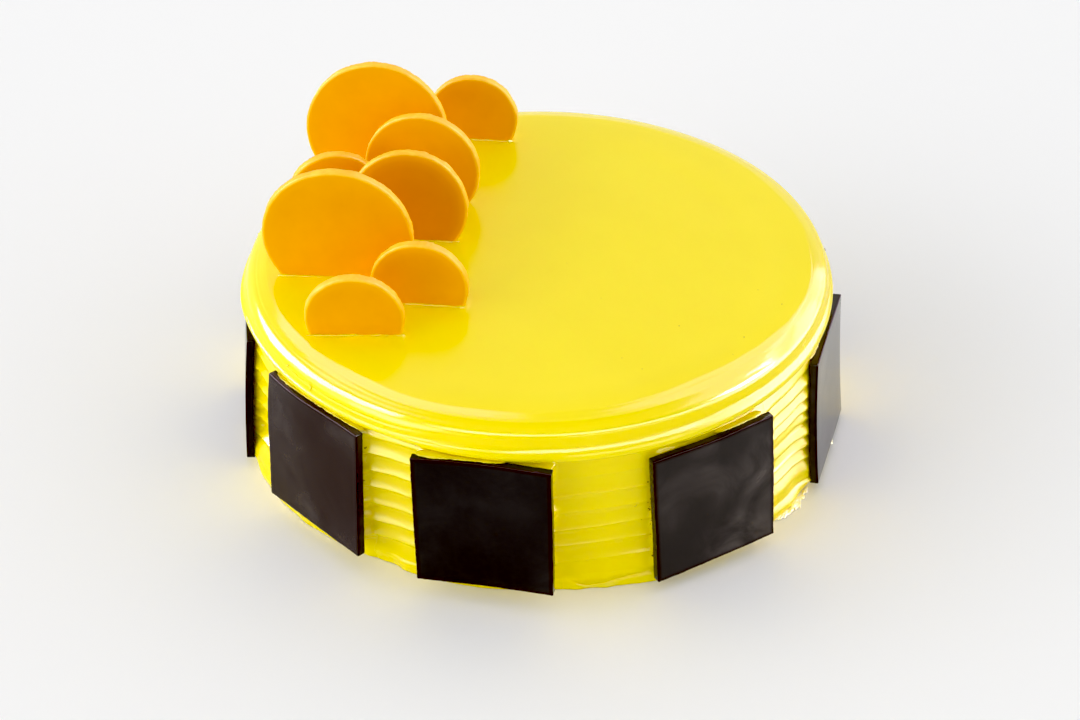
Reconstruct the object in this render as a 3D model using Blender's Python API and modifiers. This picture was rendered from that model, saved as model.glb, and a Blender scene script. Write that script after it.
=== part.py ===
"""Round layer cake in yellow cream: combed side, rolled rim, chocolate squares
leaning round the side and orange chocolate discs standing in the top.

Metres, +Z up. The origin is the middle of the flat underside; -Y is the front.
"""
import math

import bmesh
import bpy
from mathutils import Matrix, Vector

# --- driving dimensions (metres) -------------------------------------------
TOP_Z = 0.0709            # height of the flat cream top
TOP_FLAT_R = 0.0840       # the top is flat out to here, then rolls down
RIM_R, RIM_Z = 0.1021, 0.0674      # upper rolled edge of the cream
LIP_R, LIP_Z = 0.1043, 0.0624      # lower, wider rolled edge
NECK_R, NECK_Z = 0.1030, 0.0592    # tucked line under the lower roll
RIDGE_R = 0.1029          # crests of the combed side, at the top
RIDGE_TAPER = 0.0009      # the side draws in by this towards the base
RIDGE_DEEP = 0.0013       # groove depth
RIDGE_PITCH = 0.0073
RIDGE_TOP_Z = 0.0533      # crest of the topmost ridge
RIDGES = 7
FOOT_R, FOOT_Z = 0.1040, 0.0028    # cream squeezed out at the base
BASE_R = 0.1012           # edge of the flat underside
TURN_STEPS = 64

GAP = 0.0003              # clearance between neighbouring pieces

PLAQUE_W, PLAQUE_H, PLAQUE_T = 0.0470, 0.0508, 0.0030
PLAQUE_R = 0.10855        # from the axis to the foot of a plaque's outer face
PLAQUE_EDGE = 0.00035     # broken edge
PLAQUES = 9
PLAQUE_GAP_DEG = 39.6     # even step round the back, where the squares are hidden
# angle from the front (towards +X), height of lower edge, lean in, roll, twist
PLAQUES_SHOWN = [
    (-85.3, 0.0030, 3.9, 1.7, 0.9),
    (-45.6, 0.0088, 2.4, 0.0, -0.6),
    (-9.8, 0.0079, 2.1, 1.1, -2.3),
    (33.7, 0.0048, 2.9, 1.8, -4.2),
    (76.5, 0.0025, 4.4, -2.1, -2.1),
]

DISC_T = 0.0034
DISC_EDGE = 0.0008        # rounded rim
DISC_SIDES = 48
LARGE_R, MEDIUM_R, SMALL_R = 0.0263, 0.0212, 0.0170
# radius, x, y, height of the centre above the top, turn to the left, lean back
DISCS = [
    (LARGE_R, -0.0594, 0.0523, 0.0173, 7.0, 8.5),
    (SMALL_R, -0.0248, 0.0760, 0.0085, 5.4, 5.0),
    (MEDIUM_R, -0.0422, 0.0333, 0.0129, 10.0, 5.0),
    (SMALL_R, -0.0725, 0.0230, 0.0083, -6.0, 1.0),
    (MEDIUM_R, -0.0460, 0.0088, 0.0124, 4.0, 8.0),
    (LARGE_R, -0.0693, -0.0158, 0.0160, 4.0, 1.0),
    (SMALL_R, -0.0407, -0.0327, 0.0070, 6.3, 1.2),
    (SMALL_R, -0.0617, -0.0507, 0.0062, 1.0, -1.5),
]

PAD_W, PAD_H = 0.034, 0.036        # dab of cream that holds each square
PAD_IN_R = 0.092                   # how far in the dab starts

YELLOW = (0.86, 0.62, 0.02)
ORANGE = (0.80, 0.30, 0.004)
CHOCOLATE = (0.030, 0.014, 0.010)


# --- scene helpers ---------------------------------------------------------
def clear_scene():
    for obj in list(bpy.data.objects):
        bpy.data.objects.remove(obj, do_unlink=True)


def collection(name):
    coll = bpy.data.collections.new(name)
    bpy.context.scene.collection.children.link(coll)
    return coll


def material(name, colour, roughness, metallic=0.0):
    mat = bpy.data.materials.new(name)
    mat.use_nodes = True
    bsdf = mat.node_tree.nodes["Principled BSDF"]
    bsdf.inputs["Base Color"].default_value = (*colour, 1.0)
    bsdf.inputs["Roughness"].default_value = roughness
    bsdf.inputs["Metallic"].default_value = metallic
    return mat


def add_object(name, bm, coll, mat=None, smooth=False):
    mesh = bpy.data.meshes.new(name)
    bm.to_mesh(mesh)
    bm.free()
    if smooth:
        mesh.shade_smooth()
        mesh.set_sharp_from_angle(angle=math.radians(40))
    obj = bpy.data.objects.new(name, mesh)
    if mat:
        mesh.materials.append(mat)
    coll.objects.link(obj)
    return obj


def as_cutter(obj):
    obj.hide_render = True
    obj.display_type = "WIRE"


# --- shapes ----------------------------------------------------------------
def arc(r0, z0, r1, z1, bulge, n):
    """Points from (r0, z0) to (r1, z1), bowed outwards by bulge; ends left out."""
    dr, dz = r1 - r0, z1 - z0
    length = math.hypot(dr, dz)
    nr, nz = -dz / length, dr / length
    out = []
    for i in range(1, n):
        t = i / n
        off = bulge * 4 * t * (1 - t)
        out.append((r0 + dr * t + nr * off, z0 + dz * t + nz * off))
    return out


def cake_profile():
    """Outline of the cream from the top's middle down to the underside's middle."""
    pts = [(0.0, TOP_Z), (0.055, TOP_Z), (TOP_FLAT_R, TOP_Z - 0.0001)]
    pts += arc(TOP_FLAT_R, TOP_Z, RIM_R - 0.0012, RIM_Z + 0.0010, 0.0011, 5)
    pts += [(RIM_R - 0.0012, RIM_Z + 0.0010), (RIM_R, RIM_Z)]
    pts += [(RIM_R - 0.0002, RIM_Z - 0.0009), (RIM_R + 0.0006, RIM_Z - 0.0024)]
    pts += [(LIP_R - 0.0005, LIP_Z + 0.0013), (LIP_R, LIP_Z), (LIP_R - 0.0003, LIP_Z - 0.0013)]
    pts += [(NECK_R, NECK_Z + 0.0007), (NECK_R - 0.0013, NECK_Z - 0.0012)]
    for k in range(RIDGES):
        z = RIDGE_TOP_Z - k * RIDGE_PITCH
        r = RIDGE_R - RIDGE_TAPER * k / (RIDGES - 1)
        half = RIDGE_PITCH / 2
        pts += [
            (r - RIDGE_DEEP * 0.35, z + half * 0.50),
            (r, z + half * 0.05),
            (r - RIDGE_DEEP * 0.30, z - half * 0.50),
            (r - RIDGE_DEEP, z - half),
        ]
    last = RIDGE_TOP_Z - (RIDGES - 0.5) * RIDGE_PITCH
    pts += arc(RIDGE_R - RIDGE_TAPER - RIDGE_DEEP, last, FOOT_R, FOOT_Z, 0.0004, 2)
    pts += [(FOOT_R, FOOT_Z), (FOOT_R - 0.0008, 0.0009), (BASE_R, 0.0), (0.0, 0.0)]
    return pts


def turned(name, profile, coll, mat):
    bm = bmesh.new()
    verts = [bm.verts.new((r, 0.0, z)) for r, z in profile]
    for a, b in zip(verts, verts[1:]):
        bm.edges.new((a, b))
    obj = add_object(name, bm, coll, mat)
    screw = obj.modifiers.new("turn", "SCREW")
    screw.axis = "Z"
    screw.angle = math.tau
    screw.steps = TURN_STEPS
    screw.render_steps = TURN_STEPS
    screw.use_merge_vertices = True
    screw.merge_threshold = 0.00005
    screw.use_smooth_shade = True
    return obj


def plaque_table():
    """The squares that show, then evenly stepped ones round the back."""
    table = list(PLAQUES_SHOWN)
    last = PLAQUES_SHOWN[-1][0]
    for k in range(PLAQUES - len(PLAQUES_SHOWN)):
        angle = last + PLAQUE_GAP_DEG * (k + 1)
        table.append((angle, 0.0040 + 0.0012 * (k % 3), 3.0 + 0.5 * (k % 2), 1.2 - 0.9 * k, 1.5 - k))
    return table


def plaque_matrix(angle, low, lean, roll, twist):
    """Local X runs along the square, Y into the cake and Z up it, from its middle."""
    a = math.radians(angle)
    turn = (
        Matrix.Rotation(a + math.radians(twist), 4, "Z")
        @ Matrix.Rotation(-math.radians(lean), 4, "X")
    )
    outward = Vector((math.sin(a), -math.cos(a), 0.0))
    up = turn.to_3x3() @ Vector((0, 0, 1))
    inward = turn.to_3x3() @ Vector((0, 1, 0))
    centre = outward * PLAQUE_R + Vector((0, 0, low)) + up * (PLAQUE_H / 2) + inward * (PLAQUE_T / 2)
    return Matrix.Translation(centre) @ turn @ Matrix.Rotation(-math.radians(roll), 4, "Y")


def box(name, size, matrix, coll, mat=None, bevel=0.0, shift=(0, 0, 0)):
    bm = bmesh.new()
    bmesh.ops.create_cube(bm, size=1.0)
    bmesh.ops.scale(bm, vec=Vector(size), verts=bm.verts)
    bmesh.ops.translate(bm, vec=Vector(shift), verts=bm.verts)
    obj = add_object(name, bm, coll, mat)
    obj.matrix_world = matrix
    if bevel:
        mod = obj.modifiers.new("edge", "BEVEL")
        mod.width = bevel
        mod.segments = 1
        mod.limit_method = "ANGLE"
    return obj


def disc_matrix(x, y, up, turn, lean):
    return (
        Matrix.Translation((x, y, TOP_Z + up))
        @ Matrix.Rotation(-math.radians(turn), 4, "Z")
        @ Matrix.Rotation(-math.radians(lean), 4, "X")
    )


def disc(name, radius, matrix, coll, mat=None, grow=0.0, bevel=0.0):
    """A coin with its front face in the local XZ plane and its body towards +Y."""
    bm = bmesh.new()
    bmesh.ops.create_cone(
        bm, cap_ends=True, segments=DISC_SIDES,
        radius1=radius + grow, radius2=radius + grow, depth=DISC_T + 2 * grow,
    )
    bmesh.ops.rotate(bm, verts=bm.verts, matrix=Matrix.Rotation(math.radians(90), 3, "X"))
    bmesh.ops.translate(bm, vec=(0, DISC_T / 2, 0), verts=bm.verts)
    obj = add_object(name, bm, coll, mat, smooth=bevel > 0)
    obj.matrix_world = matrix
    if bevel:
        mod = obj.modifiers.new("edge", "BEVEL")
        mod.width = bevel
        mod.segments = 1
        mod.limit_method = "ANGLE"
    return obj


def boolean(obj, other, operation):
    mod = obj.modifiers.new(operation.lower(), "BOOLEAN")
    mod.operation = operation
    mod.object = other
    mod.solver = "EXACT"


def build():
    clear_scene()
    parts = collection("fruit_cream_cake")
    cutters = collection("cutters")

    cream = material("cream", YELLOW, 0.30)
    orange = material("orange_chocolate", ORANGE, 0.38)
    dark = material("dark_chocolate", CHOCOLATE, 0.25)

    cake = turned("cake", cake_profile(), parts, cream)

    # dabs of cream behind the squares
    for i, row in enumerate(plaque_table(), 1):
        m = plaque_matrix(*row)
        deep = PLAQUE_R - PLAQUE_T - PAD_IN_R
        shift = (0.0, PLAQUE_T / 2 + deep / 2 - GAP, 0.0)
        pad = box(f"pad_{i}", (PAD_W, deep + 2 * GAP, PAD_H), m, cutters, bevel=0.0, shift=shift)
        as_cutter(pad)
        boolean(cake, pad, "UNION")

    # pockets for the squares, then the squares
    for i, row in enumerate(plaque_table(), 1):
        m = plaque_matrix(*row)
        size = (PLAQUE_W, PLAQUE_T, PLAQUE_H)
        pocket = box(f"pocket_{i}", [s + 2 * GAP for s in size], m, cutters)
        as_cutter(pocket)
        boolean(cake, pocket, "DIFFERENCE")
        box(f"plaque_{i}", size, m, parts, dark, bevel=PLAQUE_EDGE)

    # slots for the discs, then the discs
    for i, (radius, *place) in enumerate(DISCS, 1):
        m = disc_matrix(*place)
        slot = disc(f"slot_{i}", radius, m, cutters, grow=GAP)
        as_cutter(slot)
        boolean(cake, slot, "DIFFERENCE")
        disc(f"disc_{i}", radius, m, parts, orange, bevel=DISC_EDGE)


build()
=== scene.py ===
import math

import bmesh
import bpy
import numpy as np
from mathutils import Matrix, Vector
from mathutils.bvhtree import BVHTree


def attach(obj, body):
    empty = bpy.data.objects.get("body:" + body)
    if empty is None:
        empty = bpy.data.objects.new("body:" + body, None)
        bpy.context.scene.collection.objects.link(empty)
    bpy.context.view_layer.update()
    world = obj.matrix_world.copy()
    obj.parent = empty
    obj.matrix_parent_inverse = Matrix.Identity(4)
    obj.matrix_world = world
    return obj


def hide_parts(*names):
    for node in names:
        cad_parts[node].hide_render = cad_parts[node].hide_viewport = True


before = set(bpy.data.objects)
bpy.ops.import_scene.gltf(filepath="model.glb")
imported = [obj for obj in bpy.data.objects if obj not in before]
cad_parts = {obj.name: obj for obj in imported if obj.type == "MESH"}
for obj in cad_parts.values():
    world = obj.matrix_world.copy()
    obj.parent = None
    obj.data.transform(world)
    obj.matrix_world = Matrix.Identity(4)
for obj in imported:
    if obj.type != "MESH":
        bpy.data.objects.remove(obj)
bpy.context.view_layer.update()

MM = 0.001
TAU = math.tau

# ---------------------------------------------------------------- dimensions
TOP_Z = 70.9
EDGE_R = 84.6            # where the flat top turns down
RIM_R, RIM_Z = 102.1, 67.5
LIP_R, LIP_Z = 104.2, 62.5
NECK_R, NECK_Z = 102.7, 59.6
RIDGE_R, RIDGE_TAPER, RIDGE_DEEP = 103.3, 0.9, 2.20
PITCH, RIDGE_TOP, RIDGES = 7.3, 53.3, 7
FOOT_R = 103.4
SEAM_R = 80.0
FLAT_RINGS, SHOULDER = 16, 14      # rings between the seam and the top's edge, and how many of them lie flat enough

PLAQUE_W, PLAQUE_H, PLAQUE_T, PLAQUE_R = 47.0, 50.8, 3.0, 108.55
PLAQUES_SHOWN = [
    (-85.3, 3.0, 3.9, 1.7, 0.9),
    (-45.6, 8.8, 2.4, 0.0, -0.6),
    (-9.8, 7.9, 2.1, 1.1, -2.3),
    (33.7, 4.8, 2.9, 1.8, -4.2),
    (76.5, 2.5, 4.4, -2.1, -2.1),
]
PLAQUES = PLAQUES_SHOWN + [
    (76.5 + 39.6 * (k + 1), 4.0 + 1.2 * (k % 3), 3.0 + 0.5 * (k % 2), 1.2 - 0.9 * k, 1.5 - k)
    for k in range(4)
]

DISC_T = 3.4
LARGE, MEDIUM, SMALL = 26.3, 21.2, 17.0
DISCS = [
    (LARGE, -59.4, 52.3, 17.3, 7.0, 8.5),
    (SMALL, -24.8, 76.0, 8.5, 5.4, 5.0),
    (MEDIUM, -42.2, 33.3, 12.9, 10.0, 5.0),
    (SMALL, -72.5, 23.0, 8.3, -6.0, 1.0),
    (MEDIUM, -46.0, 8.8, 12.4, 4.0, 8.0),
    (LARGE, -69.3, -15.8, 16.0, 4.0, 1.0),
    (SMALL, -40.7, -32.7, 7.0, 6.3, 1.2),
    (SMALL, -61.7, -50.7, 6.2, 1.0, -1.5),
]


# --------------------------------------------------------------------- noise
def smooth(t):
    t = np.clip(t, 0.0, 1.0)
    return t * t * (3 - 2 * t)


def step(a, b, x):
    return smooth((x - a) / (b - a))


def noise2(x, y, seed, nx=97, ny=89):
    """Smooth value noise in -1..1; x wraps every nx cells and y every ny."""
    g = np.random.default_rng(seed).uniform(-1, 1, (nx, ny))
    xi, yi = np.floor(x), np.floor(y)
    fx, fy = smooth(x - xi), smooth(y - yi)
    x0, y0 = xi.astype(int) % nx, yi.astype(int) % ny
    x1, y1 = (x0 + 1) % nx, (y0 + 1) % ny
    a = g[x0, y0] * (1 - fx) + g[x1, y0] * fx
    b = g[x0, y1] * (1 - fx) + g[x1, y1] * fx
    return a * (1 - fy) + b * fy


def around(phi, cells, y, seed):
    """Noise that closes on itself round the cake, with that many cells in a turn."""
    return noise2(phi / TAU * cells, y, seed, nx=cells)


def rough(x, y, seed, octaves=3):
    out, amp, f, total = 0.0, 1.0, 1.0, 0.0
    for k in range(octaves):
        out = out + amp * noise2(x * f, y * f, seed + k)
        total += amp
        amp, f = amp * 0.5, f * 2.03
    return out / total


def wrap(a):
    return (a + math.pi) % TAU - math.pi


# ------------------------------------------------------------ mesh utilities
def new_mesh(name, verts_mm, faces, mats, attrs=None, smooth_shade=True, face_mat=None):
    me = bpy.data.meshes.new(name)
    v = np.ascontiguousarray(np.asarray(verts_mm, dtype=np.float64) * MM, dtype=np.float32)
    f = np.asarray(faces, dtype=np.int32)
    me.vertices.add(len(v))
    me.vertices.foreach_set("co", v.ravel())
    n = f.shape[1]
    me.loops.add(f.size)
    me.loops.foreach_set("vertex_index", f.ravel())
    me.polygons.add(len(f))
    me.polygons.foreach_set("loop_start", np.arange(0, f.size, n, dtype=np.int32))
    me.polygons.foreach_set("loop_total", np.full(len(f), n, dtype=np.int32))
    me.polygons.foreach_set("use_smooth", np.full(len(f), smooth_shade))
    for m in mats:
        me.materials.append(m)
    if face_mat is not None:
        me.polygons.foreach_set("material_index", np.asarray(face_mat, dtype=np.int32))
    me.update(calc_edges=True)
    me.validate()
    for key, val in (attrs or {}).items():
        a = me.attributes.new(key, "FLOAT", "POINT")
        a.data.foreach_set("value", np.asarray(val, dtype=np.float32).ravel())
    ob = bpy.data.objects.new(name, me)
    bpy.context.scene.collection.objects.link(ob)
    return ob


def grid_faces(rows, cols, wrap_cols=True, flip=False):
    i = np.arange(rows - 1)[:, None]
    j = np.arange(cols if wrap_cols else cols - 1)[None, :]
    jn = (j + 1) % cols
    a, b = i * cols + j, i * cols + jn
    c, d = (i + 1) * cols + jn, (i + 1) * cols + j
    q = np.stack([a, b, c, d], -1).reshape(-1, 4)
    return q[:, ::-1] if flip else q


def merge(parts):
    """Joins lists of (verts, faces) with faces of one size."""
    vs, fs, n = [], [], 0
    for v, f in parts:
        vs.append(v)
        fs.append(f + n)
        n += len(v)
    return np.concatenate(vs), np.concatenate(fs)


# -------------------------------------------------------- plaques' placement
def plaque_matrix(angle, low, lean, roll, twist):
    a = math.radians(angle)
    turn = Matrix.Rotation(a + math.radians(twist), 4, "Z") @ Matrix.Rotation(-math.radians(lean), 4, "X")
    out = Vector((math.sin(a), -math.cos(a), 0.0))
    up = turn.to_3x3() @ Vector((0, 0, 1))
    inward = turn.to_3x3() @ Vector((0, 1, 0))
    centre = out * PLAQUE_R + Vector((0, 0, low)) + up * (PLAQUE_H / 2) + inward * (PLAQUE_T / 2)
    return Matrix.Translation(centre) @ turn @ Matrix.Rotation(-math.radians(roll), 4, "Y")


def disc_matrix(x, y, up, turn, lean):
    return (
        Matrix.Translation((x, y, TOP_Z + up))
        @ Matrix.Rotation(-math.radians(turn), 4, "Z")
        @ Matrix.Rotation(-math.radians(lean), 4, "X")
    )


def apply(m, v):
    m = np.array(m)
    return v @ m[:3, :3].T + m[:3, 3]


def tube(path, rad_a, rad_b, side_v, up_v, m=12):
    """A closed lumpy tube: path (n,3), radii along two given directions (n,)."""
    a = np.linspace(0, TAU, m, endpoint=False)
    ring = path[:, None, :] + (rad_a[:, None] * np.cos(a))[:, :, None] * side_v[:, None, :] + (rad_b[:, None] * np.sin(a))[:, :, None] * up_v[:, None, :]
    return ring.reshape(-1, 3), grid_faces(len(path), m)


# how each square has bent as it set, in mm inwards at its edges and corners
WARPS = [
    [(0.2, 0.5, 0.2, 0.0, 0.0, 0.0)],
    [(0.1, 0.0, 0.0, 1.5, -0.35, 1.2)],
    [(-0.5, -0.1, 0.1, 0.0, 0.35, 0.2)],
    [(0.3, 0.1, -0.1, 0.0, -0.35, 0.0)],
    [(0.1, -0.5, 0.1, 0.0, 0.1, 0.5)],
    [(0.2, 0.1, -0.2, 0.3, 0.1, 0.5)],
    [(-0.3, 0.1, 0.1, 0.0, 0.2, 0.9)],
    [(0.2, -0.2, 0.2, 0.4, 0.1, 0.1)],
    [(-0.2, 0.2, -0.1, 0.0, 0.2, 0.4)],
]



# how far the cream comes over each square's top edge: (from, to) across it in mm, and how thick
DABS = [
    [(-21, 20, 0.7, 1.3)],
    [(-22, 22.5, 0.35, 0.9)],
    [(-22.5, 8, 0.45, 2.1)],
    [(2, 21, 0.6, 0.8)],
    [(-21, 18, 0.7, 0.9)],
    [(-20, 16, 0.8, 1.0)],
    [(-16, 21, 0.7, 1.2)],
    [(-21, 10, 0.8, 0.8)],
    [(-12, 21, 0.7, 1.4)],
]


def dabs(mats):
    """The ragged line of cream between each square's top edge and the rim."""
    parts = []
    for i, row in enumerate(PLAQUES):
        m4 = plaque_matrix(*row)
        for x0, x1, thick, over in DABS[i]:
            n = 110
            t = np.linspace(0, 1, n)
            x = x0 + (x1 - x0) * t
            end = np.clip(1 - np.abs(2 * t - 1) ** 5, 0, 1) ** 0.6
            wob = rough(x * 0.22 + 9 * i, t * 0 + 3, 310 + i, 3)
            rag = noise2(x * 1.3 + 5 * i, t * 0 + 2, 320 + i)
            bend = PLAQUE_W / 2
            off = sum(a * (x / bend) ** 2 + b + c * (x / bend) + e_ * np.cos(x / bend * 2.6 + f_) for a, b, c, d, e_, f_ in WARPS[i])
            back = PLAQUE_T / 2 + off
            reach = np.clip(over * (1 + 0.22 * wob) + 0.22 * np.clip(rag, -0.4, 1), 0.1, PLAQUE_T - 0.45)
            ra = (0.5 * reach + 1.5) * end
            yc = back + 1.5 - 0.5 * reach
            rb = (0.62 * thick + 0.16 * wob + 0.06 * rag) * end
            zc = PLAQUE_H / 2 + rb * 0.35
            path = np.stack([x, yc, zc], 1)
            side_v = np.tile([0, 1.0, 0], (n, 1))
            up_v = np.tile([0, 0, 1.0], (n, 1))
            v, f = tube(path, np.maximum(ra, 0.02), np.maximum(rb, 0.02), side_v, up_v, 16)
            parts.append((apply(m4, v), f))
    v, f = merge(parts)
    return new_mesh("cream_dabs", v, f, mats, {"gloss": np.full(len(v), -1.5)})


def surface(objects):
    """Finds where a line towards the cake's axis meets the cream, in mm."""
    trees = [BVHTree.FromPolygons([p.co / MM for p in ob.data.vertices], [list(p.vertices) for p in ob.data.polygons]) for ob in objects]

    def find(phi_deg, z, r=118.0):
        a = math.radians(phi_deg)
        start = Vector((math.sin(a) * r, -math.cos(a) * r, z))
        best = None
        for tree in trees:
            hit, nrm, _, dist = tree.ray_cast(start, Vector((-math.sin(a), math.cos(a), 0.0)), 40.0)
            if hit is not None and (best is None or dist < best[2]):
                best = (np.array(hit), np.array(nrm), dist)
        return best

    def drop(x, y):
        best = None
        for tree in trees:
            hit, nrm, _, dist = tree.ray_cast(Vector((x, y, 90.0)), Vector((0, 0, -1.0)), 40.0)
            if hit is not None and (best is None or dist < best[2]):
                best = (np.array(hit), np.array(nrm), dist)
        return best

    return find, drop


def lump(centre, nrm, size, seed, flat=0.6, fine=1):
    """A small uneven crumb sitting on the surface."""
    bm = bmesh.new()
    bmesh.ops.create_icosphere(bm, subdivisions=1 + fine, radius=1.0)
    v = np.array([p.co[:] for p in bm.verts])
    f = np.array([[p.index for p in q.verts] for q in bm.faces])
    bm.free()
    rng = np.random.default_rng(seed)
    k = 1 + 0.28 * np.sin(v @ rng.normal(size=3) * 2.3 + rng.uniform(0, 6)) + 0.16 * np.sin(v @ rng.normal(size=3) * 4.1 + rng.uniform(0, 6))
    v = v * k[:, None] * rng.uniform(0.75, 1.25, 3)
    nrm = np.array(nrm) / np.linalg.norm(nrm)
    t1 = np.cross(nrm, [0.3, 0.2, 0.93])
    t1 /= np.linalg.norm(t1)
    t2 = np.cross(nrm, t1)
    return centre + size * (v[:, :1] * t1 + v[:, 1:2] * t2 + v[:, 2:] * nrm * flat) + nrm * size * 0.12, f


# where chocolate has rubbed off on the cream: angle, height, spread round and up, how many, size
CRUMBS = [
    (21.3, 36.0, 0.22, 1.3, 5, 0.19), (21.4, 31.5, 0.20, 1.0, 4, 0.20), (21.2, 42.0, 0.20, 1.0, 3, 0.15), (21.6, 26.0, 0.20, 1.2, 4, 0.18),
    (21.7, 20.4, 0.20, 1.5, 3, 0.17), (21.9, 12.0, 0.20, 2.0, 4, 0.18), (18.7, 33.4, 0.25, 0.3, 3, 0.10), (19.7, 27.5, 0.05, 0.1, 1, 0.17),
    (-36.0, 45.0, 0.40, 1.2, 7, 0.22), (-36.3, 37.5, 0.35, 0.8, 6, 0.22), (-36.0, 27.6, 0.30, 1.0, 5, 0.2), (-36.3, 17.0, 0.35, 1.8, 8, 0.22), (-36.1, 8.4, 0.40, 1.4, 7, 0.22),
    (-33.3, 51.4, 0.15, 0.25, 3, 0.16), (-34.4, 37.0, 0.4, 0.4, 3, 0.15), (-22.5, 60.2, 0.5, 0.2, 2, 0.12),
    (66.0, 40.0, 0.4, 1.4, 6, 0.2), (65.6, 25.0, 0.4, 1.4, 5, 0.2), (101.0, 30.0, 0.5, 2.0, 9, 0.25), (131.0, 21.0, 0.5, 2.0, 9, 0.25),
    (143.0, 42.0, 0.4, 1.5, 7, 0.25), (172.0, 12.0, 0.4, 2.0, 8, 0.25), (-168.0, 33.0, 0.4, 1.5, 7, 0.25), (-130.0, 24.0, 0.5, 2.0, 9, 0.25), (-112.0, 44.0, 0.4, 1.0, 6, 0.25),
]
SPECKS = [(10.2, -7.9), (21.8, -29.4), (47.9, -46.0), (76.2, -24.9), (83.8, -33.3), (69.5, -52.4), (65.1, -62.0), (28.0, -64.0), (34.5, -70.1)]


def crumbs(find, drop, mats):
    parts = []
    rng = np.random.default_rng(77)
    for a, z, da, dz, many, size in CRUMBS:
        for j in range(many):
            hit = find(a + rng.normal() * da, z + rng.normal() * dz)
            rub = j % 3 != 0
            grain = size * (rng.uniform(1.1, 2.4) if rub else rng.uniform(0.5, 1.1))
            if hit is not None:
                parts.append(lump(hit[0], hit[1], grain, int(rng.integers(1, 9999)), flat=0.06 if rub else 0.3))
    for k, (x, y) in enumerate(SPECKS):
        hit = drop(x, y)
        if hit is not None:
            parts.append(lump(hit[0], hit[1], 0.11 + 0.03 * (k % 3), 500 + k))
    v, f = merge(parts)
    return new_mesh("dark_crumbs", v, f, mats)


DRIPS = [(-47.0, 66.2, 63.0, 0.50), (-54.3, 66.2, 65.2, 0.60), (-101.0, 66.0, 63.8, 0.45)]


def drips(find, mats):
    """Thin drops of cream that have run down from the rim."""
    parts = []
    for k, (a, z0, z1, size) in enumerate(DRIPS):
        n = 26
        t = np.linspace(0, 1, n)
        path, nrm = [], []
        for s in t:
            hit = find(a + 0.25 * math.sin(3 * s + k), z0 + (z1 - z0) * s)
            path.append(hit[0])
            nrm.append(hit[1])
        path, nrm = np.array(path), np.array(nrm)
        nrm = nrm / np.linalg.norm(nrm, axis=1)[:, None]
        along = np.array([math.cos(math.radians(a)), math.sin(math.radians(a)), 0.0])
        w = size * (0.55 + 0.45 * smooth((t - 0.45) / 0.4)) * np.sqrt(np.clip(1 - (2 * t - 1) ** 6, 0, 1))
        v, f = tube(path + nrm * 0.06, np.maximum(w, 0.01), np.maximum(0.85 * w, 0.01), np.tile(along, (n, 1)), nrm, 14)
        parts.append((v, f))
    v, f = merge(parts)
    return new_mesh("cream_drips", v, f, mats, {"gloss": np.ones(len(v))})


SMEARS = [  # angle, radius, length along, width, turn, height
    (55.0, 105.6, 3.6, 1.5, 4, 0.55), (57.6, 106.6, 3.0, 1.6, 14, 0.5), (60.4, 106.6, 2.6, 1.3, -8, 0.45), (58.6, 107.9, 1.5, 0.6, 25, 0.3), (53.0, 105.0, 2.2, 0.9, -10, 0.5),
    (62.9, 106.4, 2.0, 0.8, 5, 0.35), (68.0, 107.6, 2.0, 0.5, 15, 0.25), (79.6, 108.2, 3.2, 0.9, 5, 0.35), (83.2, 108.9, 2.6, 0.7, -14, 0.3), (87.0, 109.4, 1.3, 0.6, 20, 0.25),
    (-152.0, 105.0, 2.6, 1.2, 15, 0.5), (133.0, 104.2, 2.8, 1.2, -10, 0.5), (172.0, 104.4, 2.2, 1.1, 20, 0.4),
]


def smears(mats):
    """Thin bits of cream left on the plate round the foot."""
    parts = []
    for k, (a, r, length, wide, turn, high) in enumerate(SMEARS):
        n, m = 72, 9
        th = np.linspace(0, TAU, n, endpoint=False)
        edge = 1 + 0.32 * noise2(th / TAU * 7, th * 0 + k, 610 + k, nx=7) + 0.24 * noise2(th / TAU * 17, th * 0 + k, 620 + k, nx=17) + 0.12 * noise2(th / TAU * 36, th * 0 + k, 640 + k, nx=36)
        rows = []
        for s in np.linspace(0, 1, m):
            rho = (1 - s) if s < 1 else 0.0
            z = high * math.sqrt(max(0.0, 1 - rho ** 2.4)) * (1 + 0.5 * noise2(th / TAU * 9, th * 0 + s * 4, 630 + k, nx=9))
            rows.append(np.stack([length * rho * edge * np.cos(th), wide * rho * edge * np.sin(th), z + 0.0 * th], -1))
        v = np.concatenate(rows)
        b = math.radians(a + turn)
        x = v[:, 0] * math.cos(b) - v[:, 1] * math.sin(b) + r * math.sin(math.radians(a))
        y = v[:, 0] * math.sin(b) + v[:, 1] * math.cos(b) - r * math.cos(math.radians(a))
        parts.append((np.stack([x, y, v[:, 2]], -1), grid_faces(m, n)))
    v, f = merge(parts)
    return new_mesh("cream_smears", v, f, mats)


# ----------------------------------------------------------------- the cream
def table(phi, pairs):
    """Values given at angles in degrees, joined smoothly round the cake."""
    a = np.array([p[0] for p in pairs], float)
    v = np.array([p[1] for p in pairs], float)
    a = np.concatenate([a - 360, a, a + 360])
    v = np.concatenate([v, v, v])
    x = np.degrees(phi)
    k = np.clip(np.searchsorted(a, x, side="right") - 1, 0, len(a) - 2)
    return v[k] + (v[k + 1] - v[k]) * smooth((x - a[k]) / (a[k + 1] - a[k]))


def hump(phi, centre, wide):
    return np.exp(-((np.degrees(wrap(phi - math.radians(centre))) / wide) ** 2))


EDGE = [(-165, 93.5), (-130, 94.2), (-100, 95.6), (-75, 95.9), (-55, 95.2), (-45, 93.0), (-28, 94.4), (-10, 92.8),
        (14, 92.3), (25, 92.0), (35, 91.5), (46, 92.6), (55, 94.2), (64, 96.0), (76, 97.4), (95, 97.0), (120, 95.0), (150, 93.6)]
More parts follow.
